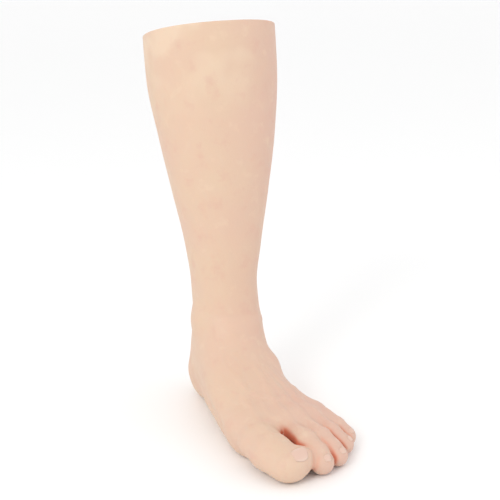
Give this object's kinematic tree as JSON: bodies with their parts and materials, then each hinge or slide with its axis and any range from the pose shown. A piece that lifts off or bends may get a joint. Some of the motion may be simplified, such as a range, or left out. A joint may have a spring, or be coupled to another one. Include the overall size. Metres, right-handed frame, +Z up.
{
  "type": "prosthetic leg",
  "caption": "Left below-knee prosthetic leg: skin-like silicone cover with toes over a foam-covered pylon, a sprung single-axis ankle, a foot, and a socket with a soft liner.",
  "frame": {"origin": "on the flat of the sole, under the pylon's line and 8 mm in front of the ankle axle", "axes": "+Z up the leg to the socket, -Y towards the toes, -X towards the medial (big toe) side"},
  "size_m": [0.1228, 0.2644, 0.3509],
  "materials": {
    "silicone_skin": "satin skin-coloured silicone",
    "cover_foam": "matt closed-cell foam, skin-toned",
    "foot_foam": "matt moulded polyurethane foam",
    "cap_plastic": "matt beige plastic",
    "socket_laminate": "clear-coated carbon-fibre laminate",
    "liner_foam": "soft matt beige liner foam",
    "pad_foam": "soft matt foam",
    "titanium": "bead-blasted titanium",
    "adapter_metal": "satin anodised aluminium",
    "tube_metal": "brushed anodised aluminium",
    "screw_steel": "blackened steel",
    "axle_steel": "ground steel",
    "bush_polymer": "matt bearing polymer",
    "bumper_front": "firm black rubber",
    "bumper_rear": "soft red-brown rubber",
    "keel_composite": "sealed hardwood keel"
  },
  "bodies": {
    "shank": {"skin_shank": "silicone_skin", "skin_ankle": "silicone_skin", "foam_cover": "cover_foam", "socket": "socket_laminate", "socket_anchor": "screw_steel", "socket_pyramid": "titanium", "socket_screws": "screw_steel", "upper_tube_adapter": "adapter_metal", "upper_set_screws": "screw_steel", "upper_clamp_screw": "screw_steel", "pylon_tube": "tube_metal", "lower_tube_adapter": "adapter_metal", "lower_set_screws": "screw_steel", "lower_clamp_screw": "screw_steel", "ankle_rocker": "titanium", "ankle_bushes": "bush_polymer"},
    "liner": {"liner": "liner_foam", "distal_pad": "pad_foam"},
    "foot": {"ankle_yoke": "titanium", "ankle_axle": "axle_steel", "axle_clips": "screw_steel", "rear_bumper": "bumper_rear", "front_bumper": "bumper_front", "foot_bolt": "screw_steel", "foot_bolt_washer": "axle_steel", "keel": "keel_composite", "foot_core": "foot_foam", "foot_cap": "cap_plastic", "skin_foot": "silicone_skin"}
  },
  "joints": [
    {"name": "ankle_flex", "type": "hinge", "parent": "shank", "child": "foot", "pos_m": [0, 0.008, 0.06], "axis": [1, 0, 0], "range_deg": [-8, 15], "stiffness_Nm_per_rad": 170, "deforming": ["skin_ankle", "front_bumper", "rear_bumper"]},
    {"name": "liner_pull", "type": "slide", "parent": "shank", "child": "liner", "axis": [0, 0, 1], "range_m": [0, 0.15]}
  ]
}
